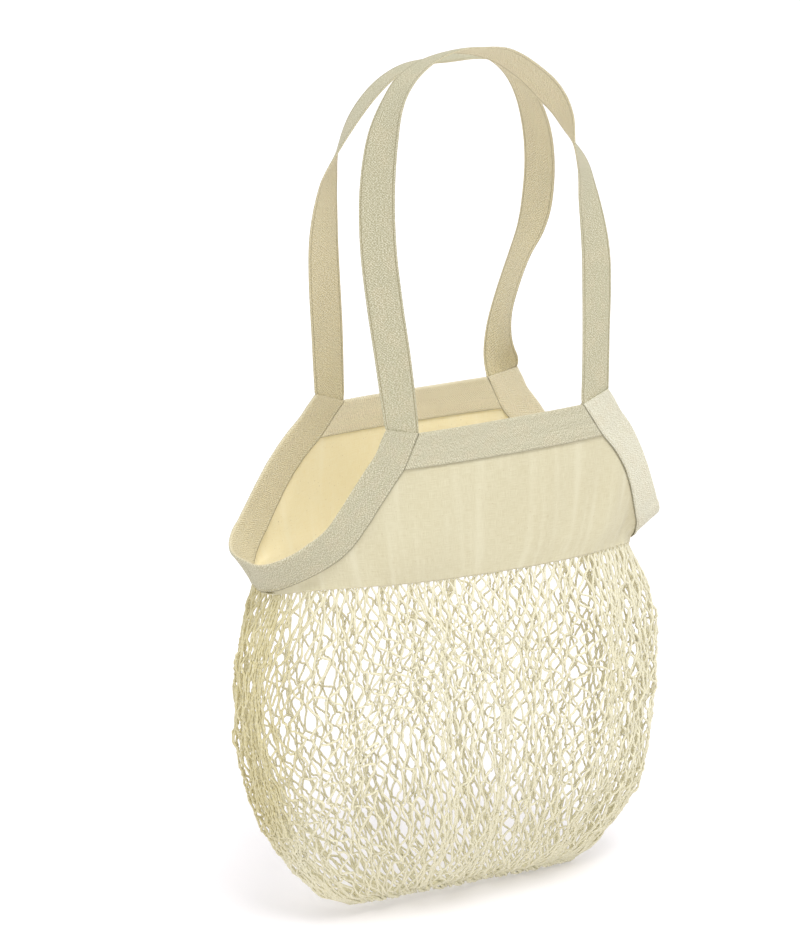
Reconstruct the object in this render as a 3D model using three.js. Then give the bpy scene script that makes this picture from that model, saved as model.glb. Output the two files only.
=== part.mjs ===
import * as THREE from 'three';

// A cotton net bag with two calico panels, taped edges and two long tape handles.
// Millimetres, +Z up, the front faces -Y. The origin is the point that the handles hang on.

// Driving heights, from the hang point downwards
const hangToHem = 281; // hang point to the top edge of the front and back hems
const panelDrop = 125; // hem top edge to the lower edge of the calico panels
const netDrop = 299; // lower edge of the panels to the lowest point of the net

// Driving widths
const halfWidth = 190; // half of the bag's width where the net is sewn on
const halfDepth = 68; // half of the bag's depth at the same level
const hangAside = 21; // the bag's middle hangs this far to -X of the hang point
const leanDown = 0.035; // the hanging bag drops this much for each millimetre towards +X
const sideDip = 11; // how much lower the panels' lower edge is sewn at the two sides

// Cloth sizes
const tapeWidth = 29; // herringbone tape of the handles, hems and bindings
const handleThick = 2; // handle tape, folded and sewn double
const tapeLayer = 1; // one layer of tape in a hem or a binding
const calicoThick = 1.2; // panel cloth
const netThick = 2.2; // net cord
const strandWide = 5.5; // a bundle of net cords between two openings
const netBand = 8; // gathered band that is sewn to the panels
const seamBand = 10; // gathered seam along the bottom of the net
const seamAllowance = 9; // panel cloth that is caught inside a tape
const sewnGap = 0.3; // clearance between sewn pieces
const handleEndGap = 0.8; // clearance between a handle's end and the binding it continues

// How the handles hang
const handleReach = 100; // length that the sideways shares of the handles are taken of
const handleDepth = 0.853 * halfDepth; // length that their front to back shares are taken of

// Steps along the curves
const scoopSteps = 20;
const hemSteps = 12;
const handleSteps = 64;
const netColumns = 12;
const netRows = 9;
const panelRows = 5;
const besideHem = 0.2; // step of a scoop at the height of the hem's sewn edge
const mitreShare = 0.5; // how far a binding's end is turned towards the handle that it meets
const mitreReach = 0.15; // step of a scoop where that turn has gone
const sideEnd = 0.85; // step of a scoop where a panel's side ends inside the binding

// Body sections. level 0 is the hem, 1 the lower edge of the panels and 2 the bottom of the net;
// wide and deep are shares of halfWidth and halfDepth, square is the exponent of the outline,
// aside is how far the section swings to -X, as a share of halfWidth.
const bodySections = [
  { level: 0.00, wide: 1.04, deep: 0.86, square: 2.4, aside: 0.000 },
  { level: 0.50, wide: 1.02, deep: 0.94, square: 2.4, aside: 0.005 },
  { level: 0.85, wide: 0.96, deep: 1.00, square: 2.4, aside: 0.020 },
  { level: 1.00, wide: 0.92, deep: 1.01, square: 2.3, aside: 0.035 },
  { level: 1.06, wide: 0.95, deep: 1.04, square: 2.2, aside: 0.030 },
  { level: 1.17, wide: 1.01, deep: 1.12, square: 2.1, aside: 0.022 },
  { level: 1.32, wide: 1.045, deep: 1.18, square: 2.0, aside: 0.011 },
  { level: 1.46, wide: 1.04, deep: 1.18, square: 2.0, aside: 0.004 },
  { level: 1.60, wide: 1.00, deep: 1.12, square: 2.0, aside: -0.010 },
  { level: 1.72, wide: 0.95, deep: 0.99, square: 2.0, aside: -0.028 },
  { level: 1.82, wide: 0.87, deep: 0.79, square: 2.0, aside: -0.035 },
  { level: 1.90, wide: 0.78, deep: 0.55, square: 2.1, aside: -0.038 },
  { level: 1.96, wide: 0.69, deep: 0.30, square: 2.2, aside: -0.046 },
  { level: 2.00, wide: 0.58, deep: 0.09, square: 2.4, aside: -0.060 },
];

// Hem corners: reach is how far the hem goes to the side, as a share of the body's half width
// there, spread is how much faster the scooped edge moves off sideways than in scoopRows, and pull
// is how far the handle pulls the binding's free edge inwards below that corner, in degrees.
const hemCorners = {
  frontLeft: { reach: 0.34, spread: 0.0, pull: 0 },
  frontRight: { reach: 0.46, spread: 1.0, pull: 12 },
  backLeft: { reach: 0.355, spread: 0.8, pull: 0 },
  backRight: { reach: 0.35, spread: 0.1, pull: 0 },
};

// One scooped side edge from a hem corner to the side of the bag. turn is the share of the way
// round to the side, beside the share of the drop alongside the hem tape, below the share of the
// drop from there to the panels' lower edge, flare the outward lean of the binding in degrees,
// tight the share of the corner's pull.
const scoopRows = [
  { step: 0.0, turn: 0.000, beside: 0.0, below: 0.000, flare: 0, tight: 0.00 },
  { step: 0.1, turn: 0.028, beside: 0.5, below: 0.000, flare: 0, tight: 0.20 },
  { step: 0.2, turn: 0.060, beside: 1.0, below: 0.000, flare: 2, tight: 0.50 },
  { step: 0.3, turn: 0.110, beside: 1.0, below: 0.150, flare: 4, tight: 0.80 },
  { step: 0.4, turn: 0.165, beside: 1.0, below: 0.310, flare: 6, tight: 1.00 },
  { step: 0.5, turn: 0.228, beside: 1.0, below: 0.480, flare: 9, tight: 0.85 },
  { step: 0.6, turn: 0.305, beside: 1.0, below: 0.640, flare: 13, tight: 0.55 },
  { step: 0.7, turn: 0.405, beside: 1.0, below: 0.765, flare: 16, tight: 0.30 },
  { step: 0.8, turn: 0.550, beside: 1.0, below: 0.865, flare: 18, tight: 0.12 },
  { step: 0.9, turn: 0.760, beside: 1.0, below: 0.945, flare: 19, tight: 0.03 },
  { step: 1.0, turn: 1.000, beside: 1.0, below: 0.984, flare: 19, tight: 0.00 },
];

// Handle routes between the two bindings. along and across are shares of handleReach and
// handleDepth, up is the share of the way from the hem to the hang point, turn is how far the
// tape's outer face has turned about the tape's own line, and fold is the crease along its middle,
// both in degrees.
const frontHandleRows = [
  { along: -1.08, across: -0.88, up: 0.220, turn: -22, fold: 0 },
  { along: -1.11, across: -0.76, up: 0.367, turn: -27, fold: 0 },
  { along: -1.13, across: -0.64, up: 0.531, turn: -32, fold: 0 },
  { along: -1.10, across: -0.52, up: 0.697, turn: -46, fold: 0 },
  { along: -1.02, across: -0.43, up: 0.833, turn: -64, fold: 0 },
  { along: -0.91, across: -0.38, up: 0.927, turn: -85, fold: 0 },
  { along: -0.77, across: -0.34, up: 0.991, turn: -92, fold: 0 },
  { along: -0.56, across: -0.32, up: 1.037, turn: -100, fold: 0 },
  { along: -0.33, across: -0.29, up: 1.056, turn: -105, fold: 0 },
  { along: -0.11, across: -0.28, up: 1.051, turn: -109, fold: 0 },
  { along: 0.13, across: -0.27, up: 1.029, turn: -117, fold: 0 },
  { along: 0.42, across: -0.27, up: 0.962, turn: -119, fold: 0 },
  { along: 0.59, across: -0.28, up: 0.904, turn: -118, fold: 0 },
  { along: 0.73, across: -0.29, up: 0.835, turn: -96, fold: 0 },
  { along: 0.81, across: -0.33, up: 0.756, turn: -67, fold: 0 },
  { along: 0.90, across: -0.38, up: 0.673, turn: -41, fold: 0 },
  { along: 0.92, across: -0.45, up: 0.594, turn: -25, fold: 0 },
  { along: 0.95, across: -0.59, up: 0.435, turn: -6, fold: 0 },
  { along: 0.93, across: -0.69, up: 0.321, turn: -3, fold: 0 },
  { along: 0.88, across: -0.81, up: 0.179, turn: -7, fold: 0 },
];
const backHandleRows = [
  { along: -1.10, across: 0.86, up: 0.197, turn: 0, fold: 0 },
  { along: -1.17, across: 0.72, up: 0.385, turn: 0, fold: 0 },
  { along: -1.21, across: 0.60, up: 0.539, turn: 10, fold: 0 },
  { along: -1.20, across: 0.50, up: 0.689, turn: 34, fold: 0 },
  { along: -1.14, across: 0.45, up: 0.769, turn: 58, fold: 0 },
  { along: -1.02, across: 0.40, up: 0.853, turn: 74, fold: 0 },
  { along: -0.86, across: 0.36, up: 0.924, turn: 79, fold: 0 },
  { along: -0.68, across: 0.33, up: 0.976, turn: 79, fold: 0 },
  { along: -0.49, across: 0.31, up: 1.002, turn: 82, fold: 0 },
  { along: -0.23, across: 0.29, up: 1.009, turn: 86, fold: 0 },
  { along: 0.04, across: 0.28, up: 1.010, turn: 88, fold: 0 },
  { along: 0.28, across: 0.28, up: 0.989, turn: 88, fold: 0 },
  { along: 0.46, across: 0.29, up: 0.941, turn: 86, fold: 0 },
  { along: 0.60, across: 0.31, up: 0.873, turn: 80, fold: 0 },
  { along: 0.71, across: 0.34, up: 0.779, turn: 70, fold: 0 },
  { along: 0.77, across: 0.40, up: 0.671, turn: 65, fold: 0 },
  { along: 0.78, across: 0.50, up: 0.546, turn: 64, fold: 0 },
  { along: 0.75, across: 0.57, up: 0.469, turn: 74, fold: 0 },
  { along: 0.68, across: 0.64, up: 0.394, turn: 88, fold: 0 },
  { along: 0.62, across: 0.74, up: 0.301, turn: 91, fold: 0 },
  { along: 0.59, across: 0.83, up: 0.213, turn: 88, fold: 6 },
  { along: 0.59, across: 0.90, up: 0.136, turn: 73, fold: 12 },
  { along: 0.60, across: 0.94, up: 0.078, turn: 50, fold: 8 },
];

const toRadians = Math.PI / 180;

// Reads every column of a table at one value of its key column, on a smooth curve through rows
function readTable(rows, key, value) {
  const last = rows.length - 1;
  const at = Math.min(Math.max(value, rows[0][key]), rows[last][key]);
  let i = 0;
  while (i < last - 1 && at > rows[i + 1][key]) i += 1;
  const before = rows[Math.max(i - 1, 0)];
  const start = rows[i];
  const end = rows[i + 1];
  const after = rows[Math.min(i + 2, last)];
  const span = end[key] - start[key];
  const s = (at - start[key]) / span;
  const result = {};
  for (const column of Object.keys(start)) {
    const startSlope = (end[column] - before[column]) / (end[key] - before[key]) * span;
    const endSlope = (after[column] - start[column]) / (after[key] - start[key]) * span;
    const rise = end[column] - start[column];
    result[column] = start[column] + s * startSlope
      + s * s * (3 * rise - 2 * startSlope - endSlope)
      + s * s * s * (startSlope + endSlope - 2 * rise);
  }
  return result;
}

// Body surface. angle 0 is the middle of the front and grows towards +X and round to the back;
// each level is a superellipse of its section. The level slopes with leanDown and dips at the
// two sides, most of all where the panels end.
function bodyPoint(angle, level) {
  const section = readTable(bodySections, 'level', level);
  const power = 2 / section.square;
  const sideways = Math.sin(angle);
  const frontways = Math.cos(angle);
  const x = halfWidth * section.wide * Math.sign(sideways) * Math.abs(sideways) ** power;
  const y = -halfDepth * section.deep * Math.sign(frontways) * Math.abs(frontways) ** power;
  const drop = Math.min(level, 1) * panelDrop + Math.max(level - 1, 0) * netDrop;
  const slope = leanDown * Math.min(level, 1) * x;
  const dip = sideDip * sideways ** 8 * Math.min(level, 2 - level);
  const z = -hangToHem - drop - slope - dip;
  return new THREE.Vector3(x - hangAside - halfWidth * section.aside, y, z);
}

function bodyNormal(angle, level) {
  const step = 0.004;
  const low = Math.max(level - step, 0);
  const high = Math.min(level + step, 2);
  const round = bodyPoint(angle + step, level).sub(bodyPoint(angle - step, level));
  const rise = bodyPoint(angle, low).sub(bodyPoint(angle, high));
  return round.cross(rise).normalize();
}

// Turns a share of the body's half width into the angle of that place on the hem's section
function angleOfReach(reach) {
  return Math.asin(reach ** (bodySections[0].square / 2));
}

// The four quarters of the top edge: where each scoop starts, which way it turns
function scoopQuarter(side, face) {
  const corner = hemCorners[face + (side < 0 ? 'Left' : 'Right')];
  const start = angleOfReach(corner.reach);
  const sign = face === 'front' ? side : -side;
  const middle = face === 'front' ? 0 : Math.PI;
  return { start, sign, middle, spread: corner.spread, pull: corner.pull };
}

function scoopPlace(quarter, step) {
  const row = readTable(scoopRows, 'step', step);
  const turn = row.turn * (1 + quarter.spread * (1 - row.turn) ** 3);
  const angle = quarter.start + (Math.PI / 2 - quarter.start) * turn;
  const drop = row.beside * tapeWidth + row.below * (panelDrop - tapeWidth);
  return {
    angle: quarter.middle + quarter.sign * angle,
    level: drop / panelDrop,
    flare: (row.flare - quarter.pull * row.tight) * toRadians,
  };
}

// A rib of a scoop's binding: its sewn edge, the direction across the tape and the tape's normal
function scoopRib(side, face, step) {
  const quarter = scoopQuarter(side, face);
  const place = scoopPlace(quarter, step);
  const sewn = bodyPoint(place.angle, place.level);
  const normal = bodyNormal(place.angle, place.level);
  const nudge = 0.02;
  const ahead = scoopPlace(quarter, Math.min(step + nudge, 1));
  const behind = scoopPlace(quarter, Math.max(step - nudge, 0));
  const line = bodyPoint(ahead.angle, ahead.level).sub(bodyPoint(behind.angle, behind.level));
  if (step >= 1) line.z = -leanDown * line.x;
  line.normalize();
  const mitre = mitreShare * Math.max(1 - step / mitreReach, 0);
  line.lerp(new THREE.Vector3(0, 0, -1), mitre).normalize();
  const across = new THREE.Vector3().crossVectors(normal, line).normalize();
  if (across.z < 0) across.negate();
  const lean = across.clone().multiplyScalar(Math.cos(place.flare));
  lean.addScaledVector(normal, Math.sin(place.flare));
  const faceNormal = normal.clone().multiplyScalar(Math.cos(place.flare));
  faceNormal.addScaledVector(across, -Math.sin(place.flare));
  return { sewn, across: lean, normal: faceNormal, line, place };
}

// A triangle mesh from corner and triangle lists, turned the right way out if its faces point inwards
function solidMesh(name, corners, triangles, finish) {
  let volume = 0;
  for (const [a, b, c] of triangles) {
    volume += corners[a].dot(new THREE.Vector3().crossVectors(corners[b], corners[c]));
  }
  const ordered = volume < 0 ? triangles.map(([a, b, c]) => [a, c, b]) : triangles;
  const geometry = new THREE.BufferGeometry();
  const numbers = corners.flatMap((corner) => corner.toArray());
  geometry.setAttribute('position', new THREE.Float32BufferAttribute(numbers, 3));
  geometry.setIndex(ordered.flat());
  geometry.computeVertexNormals();
  const mesh = new THREE.Mesh(geometry, new THREE.MeshStandardMaterial(finish));
  mesh.name = name;
  return mesh;
}

// A closed solid swept through rings of equal corner counts, with flat ends. From the ring
// mirrorFrom on, its faces are split along their other diagonal, so that a piece with two like
// halves is the same on both.
function sweptSolid(name, rings, outline, finish, mirrorFrom = rings.length) {
  const count = outline.length;
  const corners = rings.flat();
  const triangles = [];
  for (let i = 0; i < rings.length - 1; i += 1) {
    for (let j = 0; j < count; j += 1) {
      const a = i * count + j;
      const b = i * count + (j + 1) % count;
      if (i < mirrorFrom) triangles.push([a, b, b + count], [a, b + count, a + count]);
      else triangles.push([a, b, a + count], [b, b + count, a + count]);
    }
  }
  const flat = outline.map(([x, y]) => new THREE.Vector2(x, y));
  const last = (rings.length - 1) * count;
  for (const [a, b, c] of THREE.ShapeUtils.triangulateShape(flat, [])) {
    const turned = THREE.ShapeUtils.isClockWise(flat) ? [a, c, b] : [a, b, c];
    triangles.push([turned[0], turned[2], turned[1]]);
    triangles.push(turned.map((corner) => corner + last));
  }
  return solidMesh(name, corners, triangles, finish);
}

// The section of a tape folded over a cloth edge: x runs from the sewn edge to the fold
function foldedTapeOutline() {
  const inside = calicoThick / 2 + sewnGap;
  const outside = inside + tapeLayer;
  const slotEnd = tapeWidth - tapeLayer;
  return [
    [0, -outside], [tapeWidth, -outside], [tapeWidth, outside], [0, outside],
    [0, inside], [slotEnd, inside], [slotEnd, -inside], [0, -inside],
  ];
}

function placeOutline(outline, start, across, normal) {
  return outline.map(([x, y]) => {
    const corner = start.clone().addScaledVector(across, x);
    return corner.addScaledVector(normal, y);
  });
}

const clothFinish = (color) => ({ color, roughness: 0.92, metalness: 0, side: THREE.FrontSide });

// Side binding: one folded tape from the front hem corner round the side to the back corner
function sideBinding(name, side) {
  const outline = foldedTapeOutline();
  const ribs = [];
  for (let i = 0; i <= scoopSteps; i += 1) ribs.push(scoopRib(side, 'front', i / scoopSteps));
  for (let i = scoopSteps - 1; i >= 0; i -= 1) ribs.push(scoopRib(side, 'back', i / scoopSteps));
  const rings = ribs.map((rib) => placeOutline(outline, rib.sewn, rib.across, rib.normal));
  return sweptSolid(name, rings, outline, clothFinish(0xd6d0b6), scoopSteps);
}

// Angles of a hem's two ends at its top edge (step 0) or at its sewn edge, clear of the bindings
function hemEnds(face, step) {
  return [-1, 1].map((side) => {
    const quarter = scoopQuarter(side, face);
    const place = scoopPlace(quarter, step);
    const clear = 2 * sewnGap / (halfWidth * quarter.start);
    return place.angle - quarter.sign * clear;
  });
}

// A rib of a hem: its sewn edge, the direction up the tape and the tape's normal
function hemRib(face, share) {
  const level = tapeWidth / panelDrop;
  const angle = THREE.MathUtils.lerp(...hemEnds(face, besideHem), share);
  const sewn = bodyPoint(angle, level);
  const top = bodyPoint(THREE.MathUtils.lerp(...hemEnds(face, 0), share), 0);
  const across = top.sub(sewn).divideScalar(tapeWidth);
  const nudge = 0.01;
  const round = bodyPoint(angle + nudge, level).sub(bodyPoint(angle - nudge, level));
  const normal = round.cross(across).normalize();
  return { angle, level, sewn, across, normal };
}

function hemBand(name, face) {
  const outline = foldedTapeOutline();
  const rings = [];
  for (let i = 0; i <= hemSteps; i += 1) {
    const rib = hemRib(face, i / hemSteps);
    rings.push(placeOutline(outline, rib.sewn, rib.across, rib.normal));
  }
  return sweptSolid(name, rings, outline, clothFinish(0xd4cfb9));
}

// Calico panel: columns from the lower edge up to the sewn edge, then on into the tape's fold
function calicoPanel(name, face) {
  const columns = [];
  const addColumn = (angle, level, across) => {
    const column = [];
    for (let j = 0; j <= panelRows; j += 1) {
      column.push(bodyPoint(angle, THREE.MathUtils.lerp(1, level, j / panelRows)));
    }
    column.push(column[panelRows].clone().addScaledVector(across, seamAllowance));
    columns.push(column);
  };
  const addScoop = (side, reverse) => {
    const first = Math.round(besideHem * scoopSteps);
    const last = Math.round(sideEnd * scoopSteps);
    const steps = [];
    for (let i = first; i <= last; i += 1) steps.push(i / scoopSteps);
    if (reverse) steps.reverse();
    for (const step of steps) {
      const rib = scoopRib(side, face, step);
      addColumn(rib.place.angle, rib.place.level, rib.across);
    }
  };
  addScoop(-1, true);
  for (let i = 0; i <= hemSteps; i += 1) {
    const rib = hemRib(face, i / hemSteps);
    addColumn(rib.angle, rib.level, rib.across);
  }
  addScoop(1, false);
  return sheetSolid(name, columns, calicoThick, clothFinish(0xe4d9ba));
}

// A sheet of cloth of even thickness about a grid of points
function sheetSolid(name, grid, thick, finish) {
  const across = grid.length;
  const along = grid[0].length;
  const corners = [];
  for (const side of [0.5, -0.5]) {
    for (let i = 0; i < across; i += 1) {
      for (let j = 0; j < along; j += 1) {
        const round = grid[Math.min(i + 1, across - 1)][j].clone();
        round.sub(grid[Math.max(i - 1, 0)][j]);
        const rise = grid[i][Math.min(j + 1, along - 1)].clone();
        rise.sub(grid[i][Math.max(j - 1, 0)]);
        const normal = round.cross(rise).normalize();
        corners.push(grid[i][j].clone().addScaledVector(normal, side * thick));
      }
    }
  }
  const inner = across * along;
  const triangles = [];
  const addQuad = (a, b, c, d) => triangles.push([a, b, c], [a, c, d]);
  for (let i = 0; i < across - 1; i += 1) {
    for (let j = 0; j < along - 1; j += 1) {
      const a = i * along + j;
      addQuad(a, a + along, a + along + 1, a + 1);
      addQuad(inner + a, inner + a + 1, inner + a + along + 1, inner + a + along);
    }
  }
  const rim = [];
  for (let i = 0; i < across - 1; i += 1) rim.push(i * along);
  for (let j = 0; j < along - 1; j += 1) rim.push((across - 1) * along + j);
  for (let i = across - 1; i > 0; i -= 1) rim.push(i * along + along - 1);
  for (let j = along - 1; j > 0; j -= 1) rim.push(j);
  rim.forEach((a, i) => {
    const b = rim[(i + 1) % rim.length];
    addQuad(b, a, inner + a, inner + b);
  });
  return solidMesh(name, corners, triangles, finish);
}

// The section of a handle tape, with its two halves leaning back from the middle by fold
function handleOutline(fold) {
  const half = tapeWidth / 2;
  const reach = half * Math.cos(fold);
  const sink = half * Math.sin(fold);
  const lean = Math.sin(fold) * handleThick / 2;
  const rise = Math.cos(fold) * handleThick / 2;
  const middle = handleThick / 2 / Math.cos(fold);
  return [
    [lean - reach, -sink - rise], [0, -middle], [reach - lean, -sink - rise],
    [reach + lean, rise - sink], [0, middle], [-reach - lean, rise - sink],
  ];
}

// Handle: flat tape swept along its route, its ends set on the ends of the two bindings
function tapeHandle(name, face, rows) {
  const outwards = face === 'front' ? -1 : 1;
  const ends = [-1, 1].map((side) => {
    const rib = scoopRib(side, face, 0);
    const middle = rib.sewn.clone().addScaledVector(rib.across, tapeWidth / 2);
    const away = rib.line.clone().negate();
    middle.addScaledVector(away, handleEndGap);
    return { middle, away, normal: rib.normal };
  });
  const points = rows.map((row) => new THREE.Vector3(
    row.along * handleReach,
    row.across * handleDepth,
    (row.up - 1) * hangToHem,
  ));
  const stops = [ends[0].middle, ...points, ends[1].middle];
  const route = new THREE.CatmullRomCurve3(stops, false, 'centripetal');
  const plainNormal = (tangent) => {
    const plain = new THREE.Vector3(0, outwards, 0);
    return plain.addScaledVector(tangent, -outwards * tangent.y).normalize();
  };
  const turnOf = (tangent, normal) => {
    const plain = plainNormal(tangent);
    const side = new THREE.Vector3().crossVectors(tangent, plain);
    return Math.atan2(normal.dot(side), normal.dot(plain)) / toRadians;
  };
  const last = rows.length + 1;
  const turns = [
    { step: 0, turn: turnOf(ends[0].away, ends[0].normal), fold: 0 },
    ...rows.map((row, i) => ({ step: i + 1, turn: row.turn, fold: row.fold })),
    { step: last, turn: turnOf(ends[1].away.clone().negate(), ends[1].normal), fold: 0 },
  ];
  const rings = [];
  for (let i = 0; i <= handleSteps; i += 1) {
    const share = i / handleSteps;
    const tangent = route.getTangent(share);
    if (i === 0) tangent.copy(ends[0].away);
    if (i === handleSteps) tangent.copy(ends[1].away).negate();
    const plain = plainNormal(tangent);
    const side = new THREE.Vector3().crossVectors(tangent, plain);
    const row = readTable(turns, 'step', share * last);
    const turn = row.turn * toRadians;
    const normal = plain.multiplyScalar(Math.cos(turn)).addScaledVector(side, Math.sin(turn));
    const across = new THREE.Vector3().crossVectors(tangent, normal);
    const outline = handleOutline(row.fold * toRadians);
    rings.push(placeOutline(outline, route.getPoint(share), across, normal));
  }
  return sweptSolid(name, rings, handleOutline(0), clothFinish(0xcac5ac));
}

// Net: a lattice of slanting strands on the body surface between a gathered band and the seam.
// Every crossing is a small lozenge of four corners, and each strand runs from one lozenge's
// lower side to the next one's upper side, so that the whole net is one closed skin.
function netBody(name) {
  const roundness = 0.2; // evens out the cells round the flat oval of the bag
  const strandParts = 2;
  const edgeParts = 3;
  const topLevel = 1 + netBand / netDrop;
  const lowLevel = 2 - seamBand / netDrop;
  const rowHeight = (lowLevel - topLevel) / netRows;
  const cellWide = Math.PI * (halfWidth + halfDepth) / netColumns;
  const cellHigh = rowHeight * netDrop;
  const slant = Math.atan2(cellWide / 2, cellHigh);
  const lozengeWide = strandWide / 2 / Math.cos(slant) / cellWide;
  const lozengeHigh = strandWide / 2 / Math.sin(slant) / cellHigh;
  const corners = [];
  const triangles = [];
  const known = new Map();

  // Both skins' corners at a place counted in columns and rows
  const corner = (column, row, levelHere) => {
    const wrapped = ((column % netColumns) + netColumns) % netColumns;
    const level = levelHere ?? topLevel + row * rowHeight;
    const key = `${wrapped.toFixed(5)} ${level.toFixed(6)}`;
    if (!known.has(key)) {
      const round = 2 * Math.PI * wrapped / netColumns;
      const angle = round - roundness * Math.sin(2 * round);
      const middle = bodyPoint(angle, level);
      const normal = bodyNormal(angle, Math.min(level, 2 - rowHeight / 2));
      if (level === 2) normal.setZ(0).normalize();
      known.set(key, corners.length);
      corners.push(middle.clone().addScaledVector(normal, netThick / 2));
      corners.push(middle.clone().addScaledVector(normal, -netThick / 2));
    }
    return known.get(key);
  };
  const addSkins = (a, b, c, d) => {
    triangles.push([a, b, c], [a, c, d], [a + 1, c + 1, b + 1], [a + 1, d + 1, c + 1]);
  };
  const addWall = (a, b) => triangles.push([b, a, a + 1], [b, a + 1, b + 1]);
  const between = (start, end, parts) => {
    const places = [];
    for (let i = 0; i <= parts; i += 1) {
      places.push([
        THREE.MathUtils.lerp(start[0], end[0], i / parts),
        THREE.MathUtils.lerp(start[1], end[1], i / parts),
      ]);
    }
    return places.map(([column, row]) => corner(column, row));
  };
  const addStrand = (upperStart, upperEnd, lowerStart, lowerEnd, mirrored) => {
    const upper = between(upperStart, upperEnd, strandParts);
    const lower = between(lowerStart, lowerEnd, strandParts);
    for (let i = 0; i < strandParts; i += 1) {
      if (mirrored) {
        addSkins(upper[i + 1], upper[i], lower[i], lower[i + 1]);
        addWall(upper[i + 1], upper[i]);
        addWall(lower[i], lower[i + 1]);
      } else {
        addSkins(upper[i], upper[i + 1], lower[i + 1], lower[i]);
        addWall(upper[i], upper[i + 1]);
        addWall(lower[i + 1], lower[i]);
      }
    }
  };

  for (let row = 0; row <= netRows; row += 1) {
    for (let i = 0; i < netColumns; i += 1) {
      const column = i + (row % 2) / 2;
      const left = [column - lozengeWide, row];
      const right = [column + lozengeWide, row];
      const top = [column, row - lozengeHigh];
      const bottom = [column, row + lozengeHigh];
      if (row > 0 && row < netRows) {
        addSkins(corner(...top), corner(...right), corner(...bottom), corner(...left));
      } else if (row === 0) {
        triangles.push([corner(...left), corner(...right), corner(...bottom)]);
        triangles.push([corner(...left) + 1, corner(...bottom) + 1, corner(...right) + 1]);
      } else {
        triangles.push([corner(...left), corner(...top), corner(...right)]);
        triangles.push([corner(...left) + 1, corner(...right) + 1, corner(...top) + 1]);
      }
      if (row < netRows) {
        const nextTop = row + 1 - lozengeHigh;
        const rightTop = [column + 0.5, nextTop];
        const rightLeft = [column + 0.5 - lozengeWide, row + 1];
        addStrand(right, rightTop, bottom, rightLeft, false);
        const leftTop = [column - 0.5, nextTop];
        const leftRight = [column - 0.5 + lozengeWide, row + 1];
        addStrand(left, leftTop, bottom, leftRight, true);
      }
    }
  }

  // Places along a band's edge: the two corners of every lozenge and the steps between lozenges
  const bandColumns = (offset) => {
    const columns = [];
    for (let i = 0; i < netColumns; i += 1) {
      const start = i + offset + lozengeWide;
      const end = i + 1 + offset - lozengeWide;
      columns.push(i + offset - lozengeWide);
      for (let j = 0; j < edgeParts; j += 1) {
        columns.push(THREE.MathUtils.lerp(start, end, j / edgeParts));
      }
    }
    return columns;
  };
  const isOpen = (i) => i % (edgeParts + 1) !== 0;
  const bandTop = 1 + sewnGap / netDrop;
  const topColumns = bandColumns(0);
  topColumns.forEach((column, i) => {
    const next = topColumns[(i + 1) % topColumns.length];
    const a = corner(column, 0, bandTop);
    const b = corner(next, 0, bandTop);
    const c = corner(next, 0);
    const d = corner(column, 0);
    addSkins(a, b, c, d);
    addWall(a, b);
    if (isOpen(i)) addWall(c, d);
  });
  const lowColumns = bandColumns((netRows % 2) / 2);
  lowColumns.forEach((column, i) => {
    const next = lowColumns[(i + 1) % lowColumns.length];
    const a = corner(column, netRows);
    const b = corner(next, netRows);
    addSkins(a, b, corner(next, 0, 2), corner(column, 0, 2));
    if (isOpen(i)) addWall(a, b);
  });

  // The seam closes front on back: each front place is joined to the back place behind it
  const floorOf = (column) => corner(column, 0, 2);
  const half = netColumns / 2;
  const frontColumns = lowColumns
    .map((column) => (column > netColumns - half / 2 ? column - netColumns : column))
    .filter((column) => column > -half / 2 && column < half / 2)
    .sort((a, b) => a - b);
  for (const column of frontColumns) {
    for (const place of [column, half - column]) corners[floorOf(place) + 1].z += netThick;
  }
  for (let i = 0; i < frontColumns.length - 1; i += 1) {
    const a = floorOf(frontColumns[i]);
    const b = floorOf(frontColumns[i + 1]);
    const c = floorOf(half - frontColumns[i + 1]);
    const d = floorOf(half - frontColumns[i]);
    addSkins(a, b, c, d);
  }
  return solidMesh(name, corners, triangles, clothFinish(0xe9e5cf));
}

const bag = new THREE.Group();
bag.add(
  calicoPanel('front_panel', 'front'),
  calicoPanel('back_panel', 'back'),
  hemBand('front_hem', 'front'),
  hemBand('back_hem', 'back'),
  sideBinding('left_binding', -1),
  sideBinding('right_binding', 1),
  tapeHandle('front_handle', 'front', frontHandleRows),
  tapeHandle('back_handle', 'back', backHandleRows),
  netBody('net_body'),
);

export default bag;
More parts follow.
